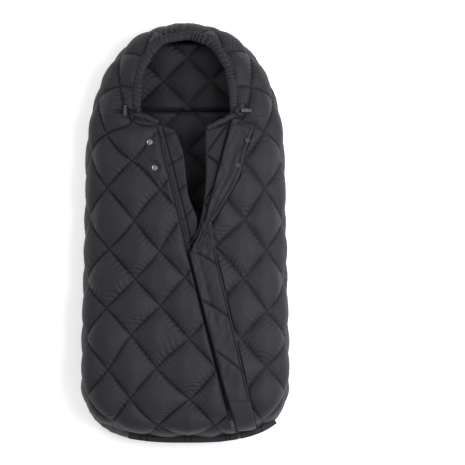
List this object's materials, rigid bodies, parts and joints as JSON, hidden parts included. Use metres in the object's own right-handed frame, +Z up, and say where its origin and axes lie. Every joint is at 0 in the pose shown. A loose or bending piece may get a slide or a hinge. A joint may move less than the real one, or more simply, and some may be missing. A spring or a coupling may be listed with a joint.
{
  "type": "stroller footmuff",
  "caption": "Mummy-shaped quilted stroller footmuff with a hood, a slanting two-way zip, a storm flap, snap studs and a drawstring with cord locks.",
  "frame": {"origin": "middle of the footprint, on the floor that the bag's back lies on", "axes": "+Z up out of the front, +Y to the head end along the bag's length, +X to the right seen from above"},
  "size_m": [0.48, 0.98, 0.1545],
  "materials": {
    "quilted_nylon": "soft satin nylon, quilted in diamonds over wadding",
    "lining_nylon": "matt nylon lining, quilted",
    "elastic_cord": "round braided elastic cord",
    "zip_tape": "woven tape",
    "zip_teeth": "moulded teeth",
    "dark_metal": "black lacquered zinc",
    "pale_metal": "satin grey",
    "snap_chrome": "bright nickel",
    "lock_plastic": "moulded grey plastic",
    "button_plastic": "moulded pale grey plastic",
    "spring_steel": "bare spring wire"
  },
  "bodies": {
    "root": {"back_panel": "quilted_nylon", "left_front_panel": "quilted_nylon", "right_front_panel": "quilted_nylon", "hood_shell": "quilted_nylon", "hood_tunnel": "quilted_nylon", "foot_gusset": "quilted_nylon", "neck_band_left": "quilted_nylon", "neck_band_right": "quilted_nylon", "right_facing": "quilted_nylon", "storm_flap_end": "quilted_nylon", "storm_flap_twist": "quilted_nylon", "inner_placket": "quilted_nylon", "back_lining": "lining_nylon", "head_lining": "lining_nylon", "hood_drawcord": "elastic_cord", "drawcord_left": "elastic_cord", "drawcord_right": "elastic_cord", "zip_tape_left": "zip_tape", "zip_tape_right": "zip_tape", "zip_teeth_left": "zip_teeth", "zip_teeth_right": "zip_teeth", "zip_top_stop_left": "dark_metal", "zip_top_stop_right": "dark_metal", "zip_bottom_stop": "dark_metal", "eyelet_left": "dark_metal", "eyelet_right": "dark_metal", "snap_stud_upper": "snap_chrome", "snap_stud_lower": "snap_chrome"},
    "wind_flap": {"wind_flap": "quilted_nylon"},
    "storm_flap_upper": {"storm_flap_upper": "quilted_nylon", "snap_socket_upper": "dark_metal", "snap_socket_lower": "dark_metal"},
    "storm_flap_lower": {"storm_flap_lower": "quilted_nylon"},
    "upper_slider": {"upper_slider": "dark_metal"},
    "upper_puller": {"upper_puller": "dark_metal"},
    "lower_slider": {"lower_slider": "dark_metal"},
    "lower_puller": {"lower_puller": "pale_metal"},
    "lock_left": {"cord_lock_left_body": "lock_plastic", "cord_lock_left_spring": "spring_steel"},
    "button_left": {"cord_lock_left_button": "button_plastic"},
    "lock_right": {"cord_lock_right_body": "lock_plastic", "cord_lock_right_spring": "spring_steel"},
    "button_right": {"cord_lock_right_button": "button_plastic"}
  },
  "joints": [
    {"name": "wind_flap_fold", "type": "hinge", "parent": "root", "child": "wind_flap", "pos_m": [0.00951, -0.02009, 0.13234], "axis": [0.2424, -0.9701, -0.0124], "range_deg": [0, 60]},
    {"name": "storm_flap_upper_fold", "type": "hinge", "parent": "root", "child": "storm_flap_upper", "pos_m": [0.047, 0.012, 0.15017], "axis": [-0.2623, -0.9647, 0.0231], "range_deg": [0, 150]},
    {"name": "storm_flap_lower_lift", "type": "hinge", "parent": "root", "child": "storm_flap_lower", "pos_m": [0.0668, -0.025, 0.14955], "axis": [-0.2269, 0.9738, 0.015], "range_deg": [0, 120]},
    {"name": "upper_zip_travel", "type": "slide", "parent": "root", "child": "upper_slider", "axis": [0.2424, -0.9701, -0.0124], "range_m": [-0.236, 0.25]},
    {"name": "upper_puller_swing", "type": "hinge", "parent": "upper_slider", "child": "upper_puller", "pos_m": [0.00715, -0.03331, 0.13658], "axis": [0.9702, 0.2424, 0], "range_deg": [0, 120]},
    {"name": "lower_zip_travel", "type": "slide", "parent": "root", "child": "lower_slider", "axis": [-0.2424, 0.9701, 0.0124], "range_m": [0, 0.09]},
    {"name": "lower_puller_swing", "type": "hinge", "parent": "lower_slider", "child": "lower_puller", "pos_m": [0.1048, -0.42408, 0.13158], "axis": [-0.9702, -0.2424, 0], "range_deg": [0, 150]},
    {"name": "cord_lock_left_travel", "type": "slide", "parent": "root", "child": "lock_left", "axis": [-0.969, -0.0248, -0.2457], "range_m": [-0.006, 0.006]},
    {"name": "cord_lock_left_press", "type": "slide", "parent": "lock_left", "child": "button_left", "axis": [0, -0.9949, 0.1004], "range_m": [0, 0.003], "stiffness_N_per_m": 300, "springref_m": -0.002},
    {"name": "cord_lock_right_travel", "type": "slide", "parent": "root", "child": "lock_right", "axis": [0.0269, -0.9949, 0.0969], "range_m": [-0.005, 0.005]},
    {"name": "cord_lock_right_press", "type": "slide", "parent": "lock_right", "child": "button_right", "axis": [-0.9635, 0, 0.2677], "range_m": [0, 0.003], "stiffness_N_per_m": 300, "springref_m": -0.002}
  ]
}
